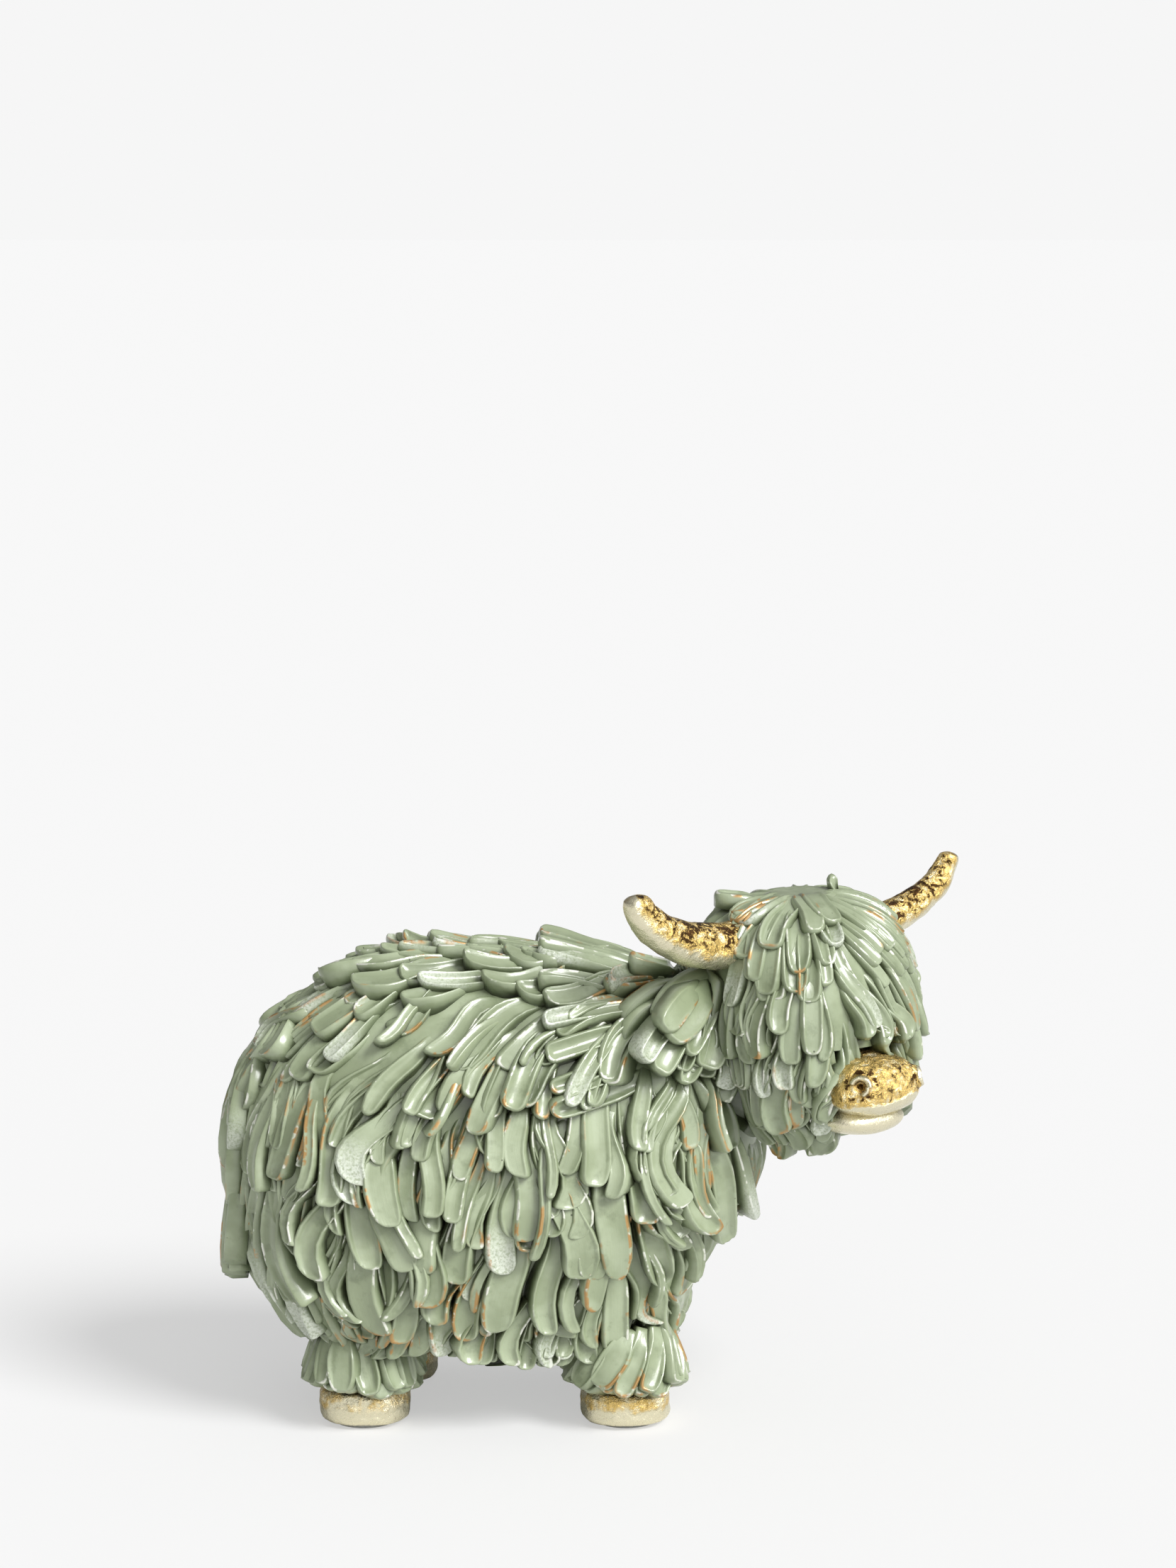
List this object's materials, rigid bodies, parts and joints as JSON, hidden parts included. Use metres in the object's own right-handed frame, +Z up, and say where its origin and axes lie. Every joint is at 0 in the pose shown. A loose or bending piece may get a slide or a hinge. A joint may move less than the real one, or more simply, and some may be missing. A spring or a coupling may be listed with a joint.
{
  "type": "cow figurine",
  "caption": "Shaggy long-horned cow ornament in green painted cast resin with gold leaf horns, muzzle and hooves, standing with its head turned to its right.",
  "frame": {"origin": "centre of the bounding box at its bottom, on the surface that the foot pads stand on", "axes": "+X the way the cow's body points, +Y its left side, +Z up; the head is turned to its right, towards -Y"},
  "size_m": [0.2028, 0.0866, 0.1477],
  "materials": {
    "green_coat": "semi-gloss sage green paint on cast resin, with silver and gold rubbed on the raised rims",
    "green_casting": "dark green painted cast resin under the coat",
    "gold_leaf": "crinkled gold leaf with dark breaks, over cast resin",
    "clear_pad": "translucent soft self-adhesive pad"
  },
  "bodies": {
    "root": {"ankle_locks_front_left": "green_coat", "ankle_locks_front_right": "green_coat", "ankle_locks_hind_left": "green_coat", "ankle_locks_hind_right": "green_coat", "coat_back": "green_coat", "coat_belly": "green_coat", "coat_hem": "green_coat", "coat_high_flank": "green_coat", "coat_low_flank": "green_coat", "coat_middle_flank": "green_coat", "coat_spine": "green_coat", "coat_upper_flank": "green_coat", "ear_left": "green_coat", "ear_locks_left": "green_coat", "ear_locks_right": "green_coat", "ear_right": "green_coat", "fill_plug": "green_casting", "foot_pad_front_left": "clear_pad", "foot_pad_front_right": "clear_pad", "foot_pad_hind_left": "clear_pad", "foot_pad_hind_right": "clear_pad", "hair_beard": "green_coat", "hair_brow": "green_coat", "hair_cheeks": "green_coat", "hair_crown": "green_coat", "hair_forelock": "green_coat", "hair_jaw": "green_coat", "hair_top": "green_coat", "head_casting": "green_casting", "hoof_front_left": "gold_leaf", "hoof_front_right": "gold_leaf", "hoof_hind_left": "gold_leaf", "hoof_hind_right": "gold_leaf", "horn_left": "gold_leaf", "horn_right": "gold_leaf", "leg_front_left": "green_casting", "leg_front_right": "green_casting", "leg_hind_left": "green_casting", "leg_hind_right": "green_casting", "muzzle": "gold_leaf", "tail_root": "green_coat", "tail_strands": "green_coat", "torso_casting": "green_casting"}
  },
  "joints": []
}
